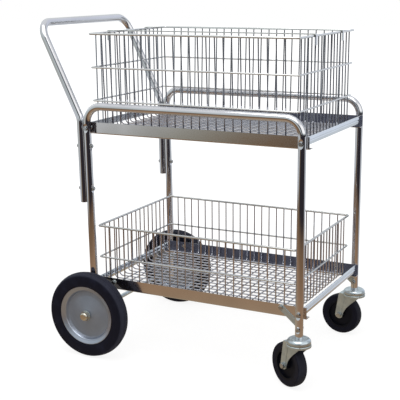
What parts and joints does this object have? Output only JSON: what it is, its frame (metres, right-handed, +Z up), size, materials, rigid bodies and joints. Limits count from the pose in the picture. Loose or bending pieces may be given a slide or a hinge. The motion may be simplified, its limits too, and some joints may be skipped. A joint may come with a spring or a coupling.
{
  "type": "wire mail cart",
  "caption": "Two-level mail cart with lift-out wire baskets in a bent tube frame, push handle, large rear wheels and swivel front casters.",
  "frame": {"origin": "on the floor, below the middle of the bounding box", "axes": "+Z up, +X from the push handle to the casters, +Y to the left of whoever pushes"},
  "size_m": [0.8612, 0.6122, 0.9895],
  "materials": {
    "chrome_tube": "polished chrome plate on steel tube",
    "chrome_angle": "polished chrome plate on steel angle",
    "plated_wire": "bright plated steel wire",
    "plated_strip": "bright plated steel strip",
    "zinc": "zinc plated steel",
    "wheel_disc": "plated pressed steel",
    "brass_plate": "yellow zinc plated steel",
    "rubber": "black rubber",
    "core": "dark moulded core"
  },
  "bodies": {
    "frame": {"axle_spacers": "zinc", "axle_washers": "zinc", "brace_straps": "zinc", "cap_nuts": "brass_plate", "caster_cups": "zinc", "caster_domes": "zinc", "caster_stems": "zinc", "handle_bolts": "zinc", "handle_nuts": "zinc", "leg_bolts": "zinc", "leg_nuts": "zinc", "leg_spacers": "zinc", "lower_angle_left": "chrome_angle", "lower_angle_right": "chrome_angle", "lower_bar_front": "zinc", "lower_bar_rear": "zinc", "push_handle": "chrome_tube", "rear_axle": "zinc", "side_frame_left": "chrome_tube", "side_frame_right": "chrome_tube", "strap_bolts": "zinc", "strap_nuts": "zinc", "upper_angle_left": "chrome_angle", "upper_angle_right": "chrome_angle", "upper_bar_front": "zinc", "upper_bar_rear": "zinc"},
    "upper_basket": {"upper_basket_end_wires_front": "plated_wire", "upper_basket_end_wires_rear": "plated_wire", "upper_basket_floor_wires": "plated_wire", "upper_basket_hoops": "plated_wire", "upper_basket_rim": "plated_wire", "upper_basket_side_wires_left": "plated_wire", "upper_basket_side_wires_right": "plated_wire"},
    "lower_basket": {"lower_basket_end_wires_front": "plated_wire", "lower_basket_end_wires_rear": "plated_wire", "lower_basket_floor_wires": "plated_wire", "lower_basket_hoops": "plated_wire", "lower_basket_rim": "plated_wire", "lower_basket_side_wires_left": "plated_wire", "lower_basket_side_wires_right": "plated_wire"},
    "hanger_right": {"hanger_rail_right": "plated_strip"},
    "hanger_left": {"hanger_rail_left": "plated_strip"},
    "rear_wheel_right": {"rear_disc_right": "wheel_disc", "rear_hub_right": "zinc", "rear_tyre_right": "rubber"},
    "rear_wheel_left": {"rear_disc_left": "wheel_disc", "rear_hub_left": "zinc", "rear_tyre_left": "rubber"},
    "caster_right": {"caster_bolt_right": "zinc", "caster_fork_right": "zinc", "caster_nut_right": "zinc"},
    "caster_left": {"caster_bolt_left": "zinc", "caster_fork_left": "zinc", "caster_nut_left": "zinc"},
    "caster_wheel_right": {"caster_core_right": "core", "caster_tyre_right": "rubber"},
    "caster_wheel_left": {"caster_core_left": "core", "caster_tyre_left": "rubber"}
  },
  "joints": [
    {"name": "upper_basket_lift", "type": "slide", "parent": "frame", "child": "upper_basket", "axis": [0, 0, 1], "range_m": [0, 0.32]},
    {"name": "lower_basket_lift", "type": "slide", "parent": "frame", "child": "lower_basket", "axis": [0, 0, 1], "range_m": [0, 0.25]},
    {"name": "hanger_right_lift", "type": "slide", "parent": "upper_basket", "child": "hanger_right", "axis": [0, 0, 1], "range_m": [0, 0.14]},
    {"name": "hanger_left_lift", "type": "slide", "parent": "upper_basket", "child": "hanger_left", "axis": [0, 0, 1], "range_m": [0, 0.14]},
    {"name": "rear_wheel_right_spin", "type": "hinge", "parent": "frame", "child": "rear_wheel_right", "pos_m": [-0.25646, -0.2729, 0.129], "axis": [0, 1, 0], "continuous": true},
    {"name": "rear_wheel_left_spin", "type": "hinge", "parent": "frame", "child": "rear_wheel_left", "pos_m": [-0.25646, 0.2729, 0.129], "axis": [0, 1, 0], "continuous": true},
    {"name": "caster_right_swivel", "type": "hinge", "parent": "frame", "child": "caster_right", "pos_m": [0.39614, -0.2355, 0.1353], "axis": [0, 0, 1], "continuous": true},
    {"name": "caster_left_swivel", "type": "hinge", "parent": "frame", "child": "caster_left", "pos_m": [0.39614, 0.2355, 0.1353], "axis": [0, 0, 1], "continuous": true},
    {"name": "caster_right_roll", "type": "hinge", "parent": "caster_right", "child": "caster_wheel_right", "pos_m": [0.3615, -0.2155, 0.0635], "axis": [0.5, 0.866, 0], "continuous": true},
    {"name": "caster_left_roll", "type": "hinge", "parent": "caster_left", "child": "caster_wheel_left", "pos_m": [0.35636, 0.23968, 0.0635], "axis": [0.1045, 0.9945, 0], "continuous": true}
  ]
}
